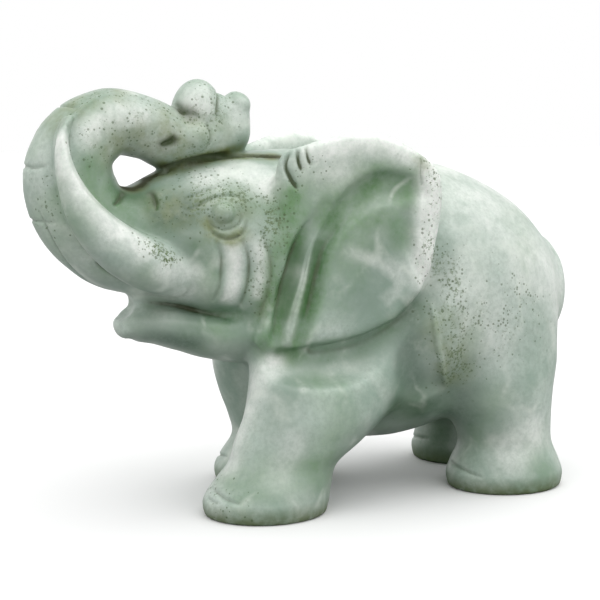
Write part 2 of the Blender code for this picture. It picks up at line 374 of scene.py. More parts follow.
# the ear stands off sharply behind and runs into the neck in front: where it starts to, over what length,
# and the hollow's radius at either end
FRONT_FROM, FRONT_OVER = -3.0, 8.0
HOLLOW_BEHIND, HOLLOW_FRONT = 1.0, 6.2
front = np.clip((FRONT_FROM - along_y) / FRONT_OVER, 0, 1)
ear_melt = HOLLOW_BEHIND + (HOLLOW_FRONT - HOLLOW_BEHIND) * front * front * (3 - 2 * front)
cheek = ball((0, -11.5, 50.0), (17.2, 9.0, 15.0))
stone = melt(stone, cheek, 5.0)
stone = melt(stone, ear(1, 0.0), ear_melt)
stone = melt(stone, ear(-1, RIGHT_EAR_BACK), ear_melt)


# the deep fold that sweeps over the ear and down, and the fold in front of it
over_fold = groove([
    (24.2, 16.5, 64.8, 1.6, 0.5),
    (23.4, 13.4, 66.0, 2.8, 1.2),
    (22.4, 9.9, 66.4, 3.4, 1.7),
    (21.4, 6.0, 66.0, 3.6, 1.9),
    (20.4, 2.4, 63.6, 3.4, 1.9),
    (19.7, -0.8, 60.2, 2.8, 1.8),
    (19.1, -3.1, 56.5, 2.2, 1.6),
    (18.8, -4.6, 52.0, 1.9, 1.4),
    (18.5, -5.6, 46.0, 1.8, 1.3),
    (18.3, -7.6, 39.6, 1.7, 1.1),
    (17.9, -8.8, 35.2, 1.5, 0.8),
])
stone = cut(stone, over_fold, 1.0)
front_fold = groove([
    (18.9, -3.6, 62.6, 1.2, 0.3),
    (18.5, -6.0, 58.8, 1.7, 1.0),
    (18.1, -8.5, 54.6, 2.0, 1.5),
    (17.8, -9.8, 50.0, 2.1, 1.7),
    (17.4, -11.2, 45.6, 2.1, 1.7),
    (17.2, -12.6, 40.5, 1.9, 1.4),
    (16.9, -13.4, 35.6, 1.6, 0.9),
])
stone = cut(stone, front_fold, 1.2)
# the step inside the rolled rim at the ear's back
rim_step = groove([
    (23.2, 12.6, 62.6, 1.5, 0.4),
    (23.2, 12.9, 59.0, 1.6, 0.8),
    (23.4, 13.7, 55.0, 1.6, 0.9),
    (23.7, 14.8, 52.0, 1.4, 0.8),
    (23.8, 16.4, 48.6, 1.2, 0.6),
    (23.4, 17.6, 46.2, 0.9, 0.3),
])
stone = cut(stone, rim_step, 0.4)
# the flank, ground back between the shoulder and the hip
flank = groove([
    (24.0, 14.6, 42.0, 3.6, 1.0),
    (23.0, 15.0, 37.0, 4.0, 1.7),
    (21.8, 15.6, 31.5, 4.4, 2.0),
    (20.6, 17.2, 26.5, 4.4, 1.8),
    (18.6, 19.6, 22.0, 3.8, 1.2),
], back=0.0)
stone = cut(stone, flank, 1.6)


# ------------------------------
# The tusks
# Long crescents cut in relief along the trunk's sides, from the lip to the top of the loop.
# ------------------------------
TUSK_HALF = 4.2
# (distance outside the trunk's side, y, z, share of the root's width, share of its depth)
TUSK = [
    (0.0, -30.5, 49.6, 0.8, 1.15),
    (1.2, -36, 51.2, 1.0, 1.3),
    (1.6, -41.5, 53.6, 1.0, 1.22),
    (1.4, -46.5, 57.2, 0.98, 1.1),
    (1.0, -50.6, 62, 0.92, 0.88),
    (0.5, -53.2, 67.2, 0.8, 0.62),
    (-0.3, -54.4, 72.2, 0.66, 0.42),
    (-1.6, -54.2, 76.6, 0.5, 0.32),
    (-3.4, -52.4, 80.0, 0.4, 0.25),
]
tusk = limb([
    (TRUNK_WIDTH / 2 + out, y, z, wide * TUSK_HALF, deep * TUSK_HALF) for out, y, z, wide, deep in TUSK
])
stone = melt(stone, both_sides(tusk), 0.6)


# ------------------------------
# The mouth, the eyes and the tail
# The mouth is a deep cut from each side with a web of stone left in the middle. Each eye is a low dome in
# a shallow socket. The tail lies against the rump.
# ------------------------------
mouth = limb([
    (9.5, -46, 44.6, 7.0, 2.3),
    (9.5, -38, 43.6, 6.6, 1.9),
    (10.5, -31.5, 42.8, 6.2, 1.2),
    (12.5, -26, 41.4, 5.6, 0.7),
    (14, -21.5, 40, 4.6, 0.35),
])
stone = cut(stone, both_sides(mouth), 0.7)
lip_bowl = ball((0, -41.2, 42.4), (4.4, 3.4, 2.6), lean=-14)
stone = cut(stone, lip_bowl, 0.6)

socket = ball((18.6, -23.2, 61.6), (4.6, 6.2, 4.6))
stone = cut(stone, both_sides(socket), 2.2)
eye = ball((12.9, -23.0, 61.6), (2.4, 2.6, 2.3))
stone = melt(stone, both_sides(eye), 0.5)

tail = limb([
    (0, 52, 59, 2.3, 1.9),
    (0, 58.2, 52.4, 2.1, 1.9),
    (0, 61.2, 45, 1.8, 1.8),
    (0.6, 61.2, 37.5, 1.8, 1.8),
    (1.2, 59, 31, 1.8, 1.8),
    (1.8, 56, 27, 2.5, 1.9),
])
stone = melt(stone, tail, 1.4)

heights = (np.arange(SHAPE[2]) + CORNER[2]) * GRAIN
stone = np.maximum(stone, -heights[None, None, :].astype(np.float32))


solid = openvdb.FloatGrid(REACH)
solid.copyFromArray(stone, ijk=tuple(int(n) for n in CORNER), tolerance=0.0)
solid.gridClass = openvdb.GridClass.LEVEL_SET
solid.transform = openvdb.createLinearTransform(voxelSize=GRAIN)
points, triangles, quads = solid.convertToPolygons(isovalue=0.0, adaptivity=0.0)

polish_mesh = bpy.data.meshes.new("rough_elephant")
polish_mesh.from_pydata(points.tolist(), [], [*triangles[:, ::-1].tolist(), *quads[:, ::-1].tolist()])
rough = bpy.data.objects.new("rough_elephant", polish_mesh)
bpy.context.scene.collection.objects.link(rough)


# ------------------------------
# The carved lines
# Cut last, with thin diamond discs and points: nicks at the ears' roots, folds of the cheek and ear,
# wrinkles of the trunk, toe lines. A Geometry Nodes tree lays each line on the stone and sinks or raises
# the surface along it.
# ------------------------------
# (half width in mm, depth in mm, points); a depth below zero raises a ridge. LINES are cut on both sides.
LINES = [
    # the fine line down the roll between the two folds of the ear
    (0.5, 0.35, [(18.6, -6, 55), (18.3, -7.4, 51.7), (18.1, -8.4, 46.5), (17.7, -10, 40.6),
        (17.4, -10.6, 35.5)]),
    # the bottoms of the folds, and the line under the ear's lower edge
    (1, 0.45, [(18.3, -6.4, 60), (17.6, -8.9, 54.6), (17, -10.4, 50), (16.6, -11.6, 45.6),
        (16.4, -12.8, 40.5), (16, -13.6, 35.6)]),
    (1.2, 0.12, [(21.4, 12.4, 65.6), (20.4, 8, 65.2), (19.4, 3.6, 62.8), (18.6, 0, 59.2)]),
    (1.1, 0.4, [(19, 1.4, 60.8), (17.8, -2.8, 55), (17.6, -4.4, 50), (17.4, -5.8, 44),
        (17.4, -7.6, 38)]),
    (1.3, 0.35, [(15, -13.6, 33.8), (17.4, -9.6, 32.8), (18.6, -4, 32.9), (19, 2, 33.6),
        (19.8, 7, 35.2), (20.6, 12, 38), (21.2, 16, 41.4), (21.6, 19.4, 46)]),
    # folds down the cheek
    (1.1, 0.55, [(14.1, -24.9, 56.8), (14.1, -23.9, 53.4), (13.6, -23.7, 50.2), (12.9, -24, 46.3),
        (11, -24.8, 43)]),
    (1, 0.55, [(15.2, -20.4, 57.6), (15.4, -18.6, 53.1), (14.7, -18.3, 49), (13.7, -18.8, 44.9),
        (11.5, -19.6, 40.6)]),
    (1, 0.5, [(16.1, -16.1, 58.3), (16.1, -14.2, 52.6), (15.5, -13.7, 48.7), (14.2, -14.2, 43.9),
        (12.2, -15.1, 39.6)]),
    # lids and brow of the eye
    (0.9, 0.6, [(13.3, -26.7, 60.2), (14, -24.9, 57.4), (14.8, -22.2, 56.6), (15.2, -19.7, 57.8),
        (14.9, -18.6, 60.4)]),
    (0.6, 0.5, [(13, -26.2, 61.6), (13.4, -25.6, 59.4), (14, -23, 58.4), (14.4, -20.4, 59.4),
        (14.6, -19.6, 61.6)]),
    (0.7, 0.4, [(11.5, -30.2, 62), (11.7, -27.4, 63.3), (11.9, -24.6, 64.7), (12.5, -21.2, 65.2),
        (13.7, -18.3, 64.2)]),
    (0.7, 0.3, [(10.3, -30.2, 64.3), (10.4, -27.5, 65.4), (10.6, -24.3, 66.6), (11.4, -21, 67.4)]),
    # nicks where the ear leaves the head
    (0.85, 1.1, [(16.9, -10.2, 73.8), (17.1, -11.3, 71.2), (17.7, -10.2, 68.4), (18, -8.8, 66.2)]),
    (0.75, 0.95, [(17.3, -8.7, 74.6), (18.1, -8.7, 71.9), (18.3, -7.9, 69.6)]),
    (0.65, 0.8, [(17.5, -7.1, 75.4), (18.5, -6.8, 72.5), (18.7, -6.1, 70.9)]),
    # the ear's rear rim and its nick
    (2, -0.45, [(24.6, 18.4, 68), (24.8, 17.6, 63), (24.8, 17.2, 57.5), (24.8, 17.6, 51),
        (24.2, 18, 47)]),
    (0.55, 0.5, [(23.4, 16.4, 72.6), (24, 15.9, 70.2), (24, 16, 66.1)]),
    # wrinkles beside the loop's eye
    (0.7, 0.6, [(5.3, -41.2, 65.7), (7.3, -42.7, 64.4), (8.4, -44.3, 63.4)]),
    (0.7, 0.6, [(6.7, -35.8, 65.6), (8.5, -35.6, 63.9), (9.5, -35.9, 62.2)]),
    # the seam where the trunk's tip lies on the forehead
    (1, 1.4, [(2.2, -34.6, 68.4), (3.3, -30.1, 70.8), (4.4, -27.7, 71.6), (4.4, -24.2, 72.3),
        (3.9, -19.8, 72.7), (4.2, -15.4, 72.8), (5.2, -12, 72.7), (6.7, -8, 72.4)]),
    # grooves along both edges of the tusk
    (0.9, 0.7, [(6.6, -54.2, 80.2), (8, -56.2, 76.7), (8.2, -56.8, 74.4), (8.2, -56.9, 71.5),
        (8.7, -56.3, 65.8), (9.4, -55, 61.2), (9, -51.6, 55.5), (8, -47.2, 51), (7.2, -43.9, 48.6),
        (6.2, -40.5, 46.6)]),
    (0.6, 0.25, [(9.4, -51.8, 78.8), (11.2, -52.9, 74), (11.8, -52.3, 71), (12.2, -50.6, 67.5),
        (12.2, -47.2, 64.2), (12.4, -44.2, 61.8), (12.8, -41, 59.2)]),
    # the tusk's tip, running out over the top of the trunk
    (0.9, -0.45, [(11.2, -55.2, 74.4), (10, -54.4, 78.7), (6.4, -50.6, 82), (5, -46.1, 84.4),
        (4.4, -42.5, 85.4)]),
    # the fold of the flank
    (1, -0.6, [(23.5, 19, 43), (23.6, 19.8, 38.4), (22.9, 21.2, 33.2), (21.4, 23.1, 27.8),
        (19.5, 25, 23.9)]),
]
# Lines that are cut once, or differ from side to side.
SINGLE_LINES = [
    # wrinkles across the front of the trunk
    (0.6, 0.5, [(6.6, -56.2, 71.6), (4.1, -58.3, 70.9), (0, -59.2, 71), (-4.1, -58.3, 71.1),
        (-7, -56.2, 71.8)]),
    (0.55, 0.4, [(7, -55.4, 60.1), (3.6, -57.4, 60.3), (0, -58.2, 60.4), (-3.6, -57.4, 60.3),
        (-7, -55.4, 60)]),
    (0.5, 0.4, [(5.2, -50.4, 82.7), (2.6, -51.2, 82.8), (0, -52, 82.7), (-4, -51.2, 82.4)]),
    # the far tusk's edge, creases of the tip's lobes
    (0.6, 0.5, [(3.8, -58, 62.7), (4.1, -56.6, 59.2), (3.6, -54.2, 54.7), (2, -50.7, 50.5),
        (1.5, -47.5, 48.1)]),
    (1.2, 1.3, [(6.2, -33.6, 74.6), (6.5, -31.8, 75.3), (6.6, -30.4, 76.4)]),
    (0.9, 0.6, [(1.5, -28.4, 82.9), (3.4, -27.7, 81.6), (4.7, -26.2, 81.3), (5.3, -24.7, 80.5)]),
    (0.9, 0.6, [(5.3, -23.5, 79.7), (6.2, -22.7, 77.7), (6.5, -22.8, 75.6), (5.8, -24.1, 73.6)]),
    (1.1, 0.6, [(0, -19.4, 85.6), (3, -19.7, 84.7), (4.6, -20.5, 82.5), (4.9, -20.9, 80.1)]),
    # toes of the left front foot
    (0.6, 0.5, [(11.6, -26.6, 6.6), (15.2, -25.8, 5.6), (18.9, -25.1, 4.9), (22.1, -22.9, 4.2)]),
    (0.5, 0.4, [(12.6, -27.4, 4.6), (14.6, -26.9, 4), (18, -26, 3.6)]),
    (0.6, 0.5, [(-11.6, -13, 6.6), (-15.2, -12.2, 5.6), (-18.9, -11.5, 4.9), (-22.1, -9.3, 4.2)]),
    # toes of the hind feet
    (0.6, 0.5, [(10.4, 31.2, 5.6), (13.9, 30.8, 5.2), (18.2, 31.5, 4.6), (21.6, 33.2, 3.9)]),
    (0.6, 0.5, [(-10.4, 38.2, 5.6), (-13.9, 37.8, 5.2), (-18.2, 38.5, 4.6), (-21.6, 40.2, 3.9)]),
    # the flats left by the wheel down the left foreleg
    (2.4, -0.4, [(15.5, -14.5, 31), (14.8, -16.3, 27.8), (13.6, -18.6, 19.5), (13.9, -21.7, 11.5)]),
    (2.4, -0.3, [(21, -8, 29), (22, -10.3, 24.4), (22.5, -12.7, 18.6), (22.6, -15.1, 10.8)]),
]


def line_wires(lines):
    """Wire mesh of all lines. Each point knows its half width and depth, which fade at the ends."""
    spots, wires, widths, depths = [], [], [], []
    for half_width, depth, route in lines:
        path = curve_through(route, 10)
        along = np.linspace(-1, 1, len(path))
        fade = 1 - along**4
        first = len(spots)
        spots += path.tolist()
        widths += (half_width * (0.55 + 0.45 * fade)).tolist()
        depths += (depth * fade).tolist()
        wires += [(first + n, first + n + 1) for n in range(len(path) - 1)]
    mesh = bpy.data.meshes.new("carved_lines")
    mesh.from_pydata(spots, wires, [])
    for name, values in (("half_width", widths), ("depth", depths)):
        mesh.attributes.new(name, "FLOAT", "POINT").data.foreach_set("value", values)
    wires = bpy.data.objects.new("carved_lines", mesh)
    bpy.context.scene.collection.objects.link(wires)
    return wires


mirrored = [(half, depth, [(-x, y, z) for x, y, z in route]) for half, depth, route in LINES]
lines = line_wires([*LINES, *mirrored, *SINGLE_LINES])


def add(tree, kind, links=None, out=0, **settings):
    """Adds a node, sets its settings, sets or links its inputs, and gives one of its outputs."""
    node = tree.nodes.new(kind)
    for name, value in settings.items():
        setattr(node, name, value)
    for key, value in (links or {}).items():
        socket = node.inputs[key]
        if isinstance(value, bpy.types.NodeSocket):
            tree.links.new(value, socket)
        else:
            socket.default_value = value
    return node.outputs[out] if node.outputs else None


def carving_tree():
    """Tree that cuts the lines into the stone and leaves it slightly uneven, as hand work is."""
    tree = bpy.data.node_groups.new("carve_lines", "GeometryNodeTree")
    face = tree.interface
    face.new_socket("Geometry", in_out="INPUT", socket_type="NodeSocketGeometry")
    face.new_socket("Geometry", in_out="OUTPUT", socket_type="NodeSocketGeometry")
    for name, kind in (
        ("Lines", "NodeSocketObject"),
        ("Depth", "NodeSocketFloat"),
        ("Width", "NodeSocketFloat"),
        ("Unevenness", "NodeSocketFloat"),
        ("Wave Length", "NodeSocketFloat"),
        ("Stone", "NodeSocketMaterial"),
    ):
        face.new_socket(name, in_out="INPUT", socket_type=kind)
    given = tree.nodes.new("NodeGroupInput").outputs
    stone_in = given["Geometry"]
    place = add(tree, "GeometryNodeInputPosition")
    normal = add(tree, "GeometryNodeInputNormal")

    wires = add(tree, "GeometryNodeObjectInfo", {"Object": given["Lines"]}, out="Geometry")
    onto = add(tree, "GeometryNodeProximity", {0: stone_in}, out="Position", target_element="FACES")
    laid = add(tree, "GeometryNodeSetPosition", {"Geometry": wires, "Position": onto})

    away = add(tree, "GeometryNodeProximity", {0: laid}, out="Distance", target_element="EDGES")
    nearest = add(tree, "GeometryNodeSampleNearest", {"Geometry": laid}, domain="POINT")
    here = {}
    for name, share in (("half_width", "Width"), ("depth", "Depth")):
        drawn = add(tree, "GeometryNodeInputNamedAttribute", {"Name": name}, data_type="FLOAT")
        taken = {"Geometry": laid, "Value": drawn, "Index": nearest}
        value = add(tree, "GeometryNodeSampleIndex", taken, data_type="FLOAT", domain="POINT")
        here[name] = add(tree, "ShaderNodeMath", {0: value, 1: given[share]}, operation="MULTIPLY")
    fade = {"Value": away, "From Min": here["half_width"], "From Max": 0.0, "To Min": 0.0, "To Max": 1.0}
    inside = add(tree, "ShaderNodeMapRange", fade, interpolation_type="SMOOTHSTEP")
    sunk = add(tree, "ShaderNodeMath", {0: inside, 1: here["depth"]}, operation="MULTIPLY")

    grain = add(tree, "ShaderNodeMath", {0: 1.0, 1: given["Wave Length"]}, operation="DIVIDE")
    waves = add(tree, "ShaderNodeTexNoise", {"Vector": place, "Scale": grain, "Detail": 1.0})
    centred = add(tree, "ShaderNodeMath", {0: waves, 1: 0.5}, operation="SUBTRACT")
    uneven = add(tree, "ShaderNodeMath", {0: centred, 1: given["Unevenness"]}, operation="MULTIPLY")
    height = add(tree, "ShaderNodeSeparateXYZ", {0: place}, out="Z")
    rise = {"Value": height, "From Min": 0.0, "From Max": 2.0, "To Min": 0.0, "To Max": 1.0}
    above_sole = add(tree, "ShaderNodeMapRange", rise)
    off_sole = add(tree, "ShaderNodeMath", {0: uneven, 1: above_sole}, operation="MULTIPLY")
    move = add(tree, "ShaderNodeMath", {0: off_sole, 1: sunk}, operation="SUBTRACT")
    offset = add(tree, "ShaderNodeVectorMath", {0: normal, 3: move}, operation="SCALE")

    told = {"Geometry": stone_in, "Name": "line", "Value": sunk}
    marked = add(tree, "GeometryNodeStoreNamedAttribute", told, data_type="FLOAT", domain="POINT")
    cut_stone = add(tree, "GeometryNodeSetPosition", {"Geometry": marked, "Offset": offset})
    real = add(tree, "GeometryNodeRealizeInstances", {0: cut_stone})
    finished = add(tree, "GeometryNodeSetMaterial", {"Geometry": real, "Material": given["Stone"]})
    add(tree, "NodeGroupOutput", {0: finished})
    return tree


# ------------------------------
# The stone and its polish
# A pale green stone of the jade kind. To the eye it is celadon with milky clouds, olive-brown wax and dust left in
# the cuts, pinholes in patches, and a soft hand polish. Painted shade darkens its colour in the hollows, folds and
# cuts, and where it is turned down or closed in.
# ------------------------------
def linear(hex_colour, alpha=1.0):
    """An sRGB hex colour as linear light."""
    parts = [int(hex_colour[n : n + 2], 16) / 255 for n in (1, 3, 5)]
    return (*[p / 12.92 if p <= 0.04045 else ((p + 0.055) / 1.055) ** 2.4 for p in parts], alpha)


def polished_jade():
    material = bpy.data.materials.new("polished_pale_jade")
    material.use_nodes = True
    tree = material.node_tree
    shader = tree.nodes["Principled BSDF"]
    place = add(tree, "ShaderNodeTexCoord", out="Object")
    told = {}
    for name in (
        *("hollow", "crevice", "shelter", "under", "line", "foot"),
        *("green_and_fold_shade", "milky", "mossy", "pitted", "painted_shade", "shady", "dusty"),
    ):
        told[name] = add(tree, "ShaderNodeAttribute", out="Fac", attribute_name=name)

    # the stone's cloudiness at each size: (size in mm, detail, roughness, distortion), then the values of
    # the noise that the cloud runs between and what it is there
    cloud = {}
    for name, size, detail, rough, warp, low, high, least, most in (
        ("body", 26, 5, 0.55, 0.6, 0.36, 0.64, 0.0, 1.0),
        ("pale", 11, 5, 0.6, 0.8, 0.42, 0.68, 0.0, 0.55),
        ("drift", 19, 4, 0.55, 0.5, 0.46, 0.72, 0.0, 0.5),
        ("green rag", 5, 4, 0.6, 0.0, 0.25, 0.75, 0.62, 1.18),
        ("grey shade rag", 8, 4, 0.6, 0.0, 0.25, 0.75, 0.75, 1.1),
        ("milk rag", 4.5, 5, 0.62, 0.3, 0.3, 0.7, 0.6, 1.15),
        ("grain", 1.1, 5, 0.75, 0.0, 0.38, 0.68, 0.0, 0.42),
        ("vein breaks", 8, 4, 0.6, 0.0, 0.42, 0.7, 0.0, 1.0),
        ("moss rag", 3.2, 4, 0.6, 0.0, 0.3, 0.68, 0.25, 1.1),
        ("dust rag", 4, 3, 0.5, 0.0, 0.3, 0.62, 0.5, 1.0),
        ("wear rag", 2.6, 4, 0.6, 0.0, 0.25, 0.6, 0.6, 1.15),
        ("scatter", 7, 3, 0.6, 0.0, 0.3, 0.7, 0.25, 1.0),
        ("polish", 3, 3, 0.5, 0.0, 0.3, 0.7, 0.30, 0.40),
    ):
        look = {"Scale": 1000 / size, "Detail": detail, "Roughness": rough, "Distortion": warp}
        waves = add(tree, "ShaderNodeTexNoise", {"Vector": place, **look})
        span = {"Value": waves, "From Min": low, "From Max": high, "To Min": least, "To Max": most}
        cloud[name] = add(tree, "ShaderNodeMapRange", span, interpolation_type="SMOOTHSTEP")

    # grey-green body of the stone with paler clouds that run into each other; each layer is the amount, its
    # strength and its colour, laid over the ones before
    body = "#93a99a"
    layers = [(cloud["body"], 1.0, "#bccac0"), (cloud["pale"], 1.0, "#c6d1c6")]
    # apple green: the stone's own green in drifts, with painted shade as deeper green in the hollows and along the
    # bottoms of the folds
    deep = {0: told["hollow"], 1: 0.55, 2: told["green_and_fold_shade"]}
    deep = add(tree, "ShaderNodeMath", deep, operation="MULTIPLY_ADD")
    green = {0: deep, 1: cloud["green rag"], 2: cloud["drift"]}
    layers.append((add(tree, "ShaderNodeMath", green, operation="MULTIPLY_ADD"), 0.92, "#5a864e"))
    # painted shade: grey-green darkening where the stone is turned down or closed in, and in patches of painted
    # shade on the jaw, flank, legs and brow
    closed = add(tree, "ShaderNodeMath", {0: told["shelter"], 1: told["under"]}, operation="MAXIMUM")
    closed = add(tree, "ShaderNodeMath", {0: closed, 1: 0.62}, operation="MULTIPLY")
    grey_shade = add(tree, "ShaderNodeMath", {0: told["painted_shade"], 1: 0.65, 2: closed}, operation="MULTIPLY_ADD")
    grey_shade = add(tree, "ShaderNodeMath", {0: grey_shade, 1: cloud["grey shade rag"]}, operation="MULTIPLY")
    layers.append((grey_shade, 1.0, "#4d6656"))
    # milky bloom
    milk = add(tree, "ShaderNodeMath", {0: told["milky"], 1: cloud["milk rag"]}, operation="MULTIPLY")
    layers.append((milk, 0.9, "#eef2ec"))
    # fine mottling of the polished grain, 1 to 3 mm, faint in the milky parts
    clear = {"Value": told["milky"], "From Min": 0.0, "From Max": 1.0, "To Min": 1.0, "To Max": 0.45}
    clear = add(tree, "ShaderNodeMapRange", clear)
    grain = add(tree, "ShaderNodeMath", {0: cloud["grain"], 1: clear}, operation="MULTIPLY")
    layers.append((grain, 1.0, "#86998a"))
    # thin white veins, the healed cracks of the stone
    crack = {"Vector": place, "Scale": 1000 / 24, "Detail": 2.5, "Distortion": 0.5}
    crack = add(tree, "ShaderNodeTexNoise", crack)
    crack = add(tree, "ShaderNodeMath", {0: crack, 1: 0.5}, operation="SUBTRACT")
    crack = add(tree, "ShaderNodeMath", {0: crack}, operation="ABSOLUTE")
    thin = {"Value": crack, "From Min": 0.0, "From Max": 0.045, "To Min": 1.0, "To Max": 0.0}
    vein = add(tree, "ShaderNodeMapRange", thin, interpolation_type="SMOOTHSTEP")
    vein = add(tree, "ShaderNodeMath", {0: vein, 1: cloud["vein breaks"]}, operation="MULTIPLY")
    layers.append((vein, 0.5, "#dfe6dc"))
    # painted shade: the darkest green, at the bottom of the deep folds, under the ear, between the legs and low on
    # the hind feet
    layers.append((told["shady"], 0.85, "#3a6333"))
    # moss-yellow stain, and the brown wax and dust that stay in the cuts
    moss = add(tree, "ShaderNodeMath", {0: told["mossy"], 1: cloud["moss rag"]}, operation="MULTIPLY")
    layers.append((moss, 0.75, "#747f48"))
    packed = {"Value": told["crevice"], "From Min": 0.25, "From Max": 0.95}
    packed = add(tree, "ShaderNodeMapRange", packed, interpolation_type="SMOOTHSTEP")
    packed = add(tree, "ShaderNodeMath", {0: packed, 1: told["dusty"]}, operation="MAXIMUM")
    dust = add(tree, "ShaderNodeMath", {0: packed, 1: cloud["dust rag"]}, operation="MULTIPLY")
    layers.append((dust, 0.88, "#3c4120"))
    # painted shade: dark green in the bottoms of the carved lines, darker where a line is sunk deeper
    line_shade = {"Value": told["line"], "From Min": 0.1, "From Max": 1.15}
    line_shade = add(tree, "ShaderNodeMapRange", line_shade, interpolation_type="SMOOTHSTEP")
    layers.append((line_shade, 0.85, "#4a5c33"))
    worn = add(tree, "ShaderNodeMath", {0: told["foot"], 1: cloud["wear rag"]}, operation="MULTIPLY")
    layers.append((worn, 0.85, "#4c5c20"))

    # freckles, and pinholes 0.2 to 0.5 mm across that hold dark dust, thick in some places
    scatter = add(tree, "ShaderNodeMath", {0: cloud["scatter"], 1: told["pitted"]}, operation="MULTIPLY")
    freckle = {"Vector": place, "Scale": 1000 / 0.75, "Detail": 3, "Roughness": 0.7}
    freckle = add(tree, "ShaderNodeTexNoise", freckle)
    freckle = add(tree, "ShaderNodeMath", {0: scatter, 1: 0.12, 2: freckle}, operation="MULTIPLY_ADD")
    freckle = {"Value": freckle, "From Min": 0.60, "From Max": 0.72}
    freckle = add(tree, "ShaderNodeMapRange", freckle, interpolation_type="SMOOTHSTEP")
    freckle = add(tree, "ShaderNodeMath", {0: freckle, 1: scatter}, operation="MULTIPLY")
    layers.append((freckle, 0.8, "#5f7349"))
    holes = 0.0
    for spacing_mm, radius, share, fewest, darkness in (
        (0.62, 0.40, 0.9, 0.015, 0.9),
        (1.7, 0.15, 0.45, 0.03, 0.85),
    ):
        cells = {"Vector": place, "Scale": 1000 / spacing_mm, "Randomness": 1.0}
        cells = add(tree, "ShaderNodeTexVoronoi", cells, out="Distance")
        chance = add(tree, "ShaderNodeSeparateColor", {0: cells.node.outputs["Color"]}, out="Red")
        wanted = add(tree, "ShaderNodeMath", {0: scatter, 1: share, 2: fewest}, operation="MULTIPLY_ADD")
        wanted = add(tree, "ShaderNodeMath", {0: wanted, 1: chance}, operation="SUBTRACT")
        there = {"Value": wanted, "From Min": 0.0, "From Max": 0.04, "To Max": darkness}
        there = add(tree, "ShaderNodeMapRange", there, interpolation_type="SMOOTHSTEP")
        reach = {0: chance.node.outputs["Green"], 1: radius, 2: 0.35 * radius}
        reach = add(tree, "ShaderNodeMath", reach, operation="MULTIPLY_ADD")
        rim = add(tree, "ShaderNodeMath", {0: reach, 1: cells}, operation="SUBTRACT")
        rim = {"Value": rim, "From Min": 0.0, "From Max": 0.10}
        rim = add(tree, "ShaderNodeMapRange", rim, interpolation_type="SMOOTHSTEP")
        pinholes = add(tree, "ShaderNodeMath", {0: rim, 1: there}, operation="MULTIPLY")
        holes = add(tree, "ShaderNodeMath", {0: pinholes, 1: holes}, operation="MAXIMUM")
    layers.append((holes, 0.66, "#475c33"))

    colour = linear(body)
    for amount, strength, hex_colour in layers:
        share = add(tree, "ShaderNodeMath", {0: amount, 1: strength}, operation="MULTIPLY")
        both = {0: share, 6: colour, 7: linear(hex_colour)}
        colour = add(tree, "ShaderNodeMix", both, out=2, data_type="RGBA")
    tree.links.new(colour, shader.inputs["Base Color"])

    # a satin wax polish, duller where dust sits and on the worn feet
    dirt = add(tree, "ShaderNodeMath", {0: dust, 1: holes}, operation="MAXIMUM")
    dull = add(tree, "ShaderNodeMath", {0: dirt, 1: 0.3, 2: cloud["polish"]}, operation="MULTIPLY_ADD")
    dull = add(tree, "ShaderNodeMath", {0: told["foot"], 1: 0.35, 2: dull}, operation="MULTIPLY_ADD")
    tree.links.new(dull, shader.inputs["Roughness"])
    shader.inputs["IOR"].default_value = 1.6
    shader.inputs["Subsurface Weight"].default_value = 0.22
    shader.inputs["Subsurface Radius"].default_value = (0.8, 1.0, 0.85)
    shader.inputs["Subsurface Scale"].default_value = 0.0022

    # faint grinding ripples, and the pinholes' depth
    ripple = {"Vector": place, "Scale": 1000 / 2.4, "Detail": 3, "Roughness": 0.55}
    ripple = add(tree, "ShaderNodeTexNoise", ripple)
    ripple = add(tree, "ShaderNodeMath", {0: ripple, 1: 0.5}, operation="MULTIPLY")
    height = add(tree, "ShaderNodeMath", {0: holes, 1: -0.6, 2: ripple}, operation="MULTIPLY_ADD")
    bump = add(tree, "ShaderNodeBump", {"Height": height, "Strength": 0.35, "Distance": 0.00012})
    tree.links.new(bump, shader.inputs["Normal"])
    return material


jade = polished_jade()


def settle(thing, kind, name, **settings):
    modifier = thing.modifiers.new(name, kind)
    for key, value in settings.items():
        setattr(modifier, key, value)
    return modifier


settle(rough, "SMOOTH", "polish", factor=0.5, iterations=4)
carving = settle(rough, "NODES", "carve", node_group=carving_tree())
sockets = carving.node_group.interface.items_tree
inputs = {item.name: item.identifier for item in sockets if item.in_out == "INPUT"}
for name, value in {
    "Lines": lines,
    "Depth": 1.0,
    "Width": 1.0,
    "Unevenness": 0.5,
    "Wave Length": 9.0,
    "Stone": jade,
}.items():
    carving[inputs[name]] = value
KEPT_FACES = 0.42
settle(rough, "DECIMATE", "thin", ratio=KEPT_FACES)

sight = bpy.context.evaluated_depsgraph_get()
finished = bpy.data.meshes.new_from_object(rough.evaluated_get(sight), depsgraph=sight)
finished.name = "elephant"
elephant = bpy.data.objects.new("elephant", finished)
bpy.context.scene.collection.objects.link(elephant)
for scrap in (rough, lines):
    bpy.data.objects.remove(scrap)

spots = np.empty(len(finished.vertices) * 3, np.float32)
finished.vertices.foreach_get("co", spots)
spots = spots.reshape(-1, 3)


def at_spots(block):
    """The grid's values at the finished surface's points."""
    where = spots / GRAIN - CORNER
    base = np.clip(np.floor(where).astype(int), 0, np.array(SHAPE) - 2)
    part = where - base
    total = np.zeros(len(spots))
    for corner in np.ndindex(2, 2, 2):
        share = np.prod([part[:, a] if corner[a] else 1 - part[:, a] for a in range(3)], axis=0)
        total += share * block[tuple((base + corner).T)]
    return total


def blurred(values, radius):
    """The grid averaged three times over a box of that half size, in millimetres."""
    half = max(1, round(radius / GRAIN))
    for _ in range(3):
        for axis in range(3):
            margin = [(half + 1, half) if a == axis else (0, 0) for a in range(3)]
            wide = np.pad(values, margin, mode="edge")
            total = np.cumsum(wide, axis=axis, dtype=np.float64)
            ahead = np.take(total, range(2 * half + 1, wide.shape[axis]), axis=axis)
            behind = np.take(total, range(0, wide.shape[axis] - 2 * half - 1), axis=axis)
            values = ((ahead - behind) / (2 * half + 1)).astype(np.float32)
    return values
